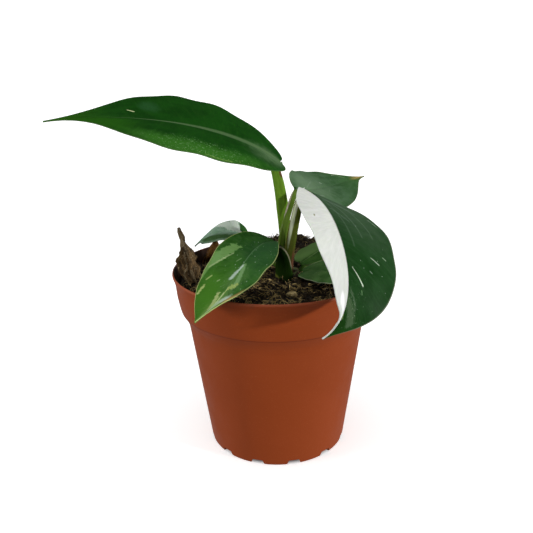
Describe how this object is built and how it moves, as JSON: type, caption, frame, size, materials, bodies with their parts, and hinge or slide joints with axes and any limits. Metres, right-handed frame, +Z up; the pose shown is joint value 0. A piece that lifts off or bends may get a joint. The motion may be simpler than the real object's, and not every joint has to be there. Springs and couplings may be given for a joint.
{
  "type": "potted white princess philodendron",
  "caption": "Young climbing philodendron with heart-shaped green and white variegated leaves on upright petioles, planted in soil in a small round terracotta-coloured plastic grower's pot",
  "frame": {"origin": "centre of the pot's flat base, on the surface it stands on", "axes": "+Z up along the pot's axis; -Y is the front, the side the picture shows; +X is the picture's right"},
  "size_m": [0.1785, 0.1526, 0.2051],
  "materials": {
    "pot_plastic": "satin injection-moulded plastic, terracotta brown",
    "soil": "damp peat and coir, dark brown",
    "stone": "rough tan pebble",
    "stem": "fleshy green stem with brown scars",
    "petiole": "smooth bright green, slightly glossy",
    "leaf_dark_green": "waxy dark green leaf with white flecks",
    "leaf_mid_green": "waxy mid green leaf with pale green and cream patches",
    "leaf_white": "waxy white leaf tissue",
    "dried_leaf": "dry papery taupe brown",
    "dead_sheath": "dry fibrous orange brown"
  },
  "bodies": {
    "root": {"pot": "pot_plastic", "soil": "soil", "stone": "stone", "stem": "stem", "petiole_top_left": "petiole", "petiole_right": "petiole", "petiole_upper_right": "petiole", "petiole_front_left": "petiole", "petiole_back_left": "petiole", "petiole_mid_right": "petiole", "petiole_lower_right": "petiole", "leaf_top_left": "leaf_dark_green", "leaf_right_green_half": "leaf_dark_green", "leaf_right_white_half": "leaf_white", "leaf_upper_right": "leaf_dark_green", "leaf_front_left": "leaf_mid_green", "leaf_back_left": "leaf_mid_green", "leaf_mid_right": "leaf_mid_green", "leaf_lower_right": "leaf_dark_green", "dried_leaf": "dried_leaf", "dead_sheath": "dead_sheath"}
  },
  "joints": []
}
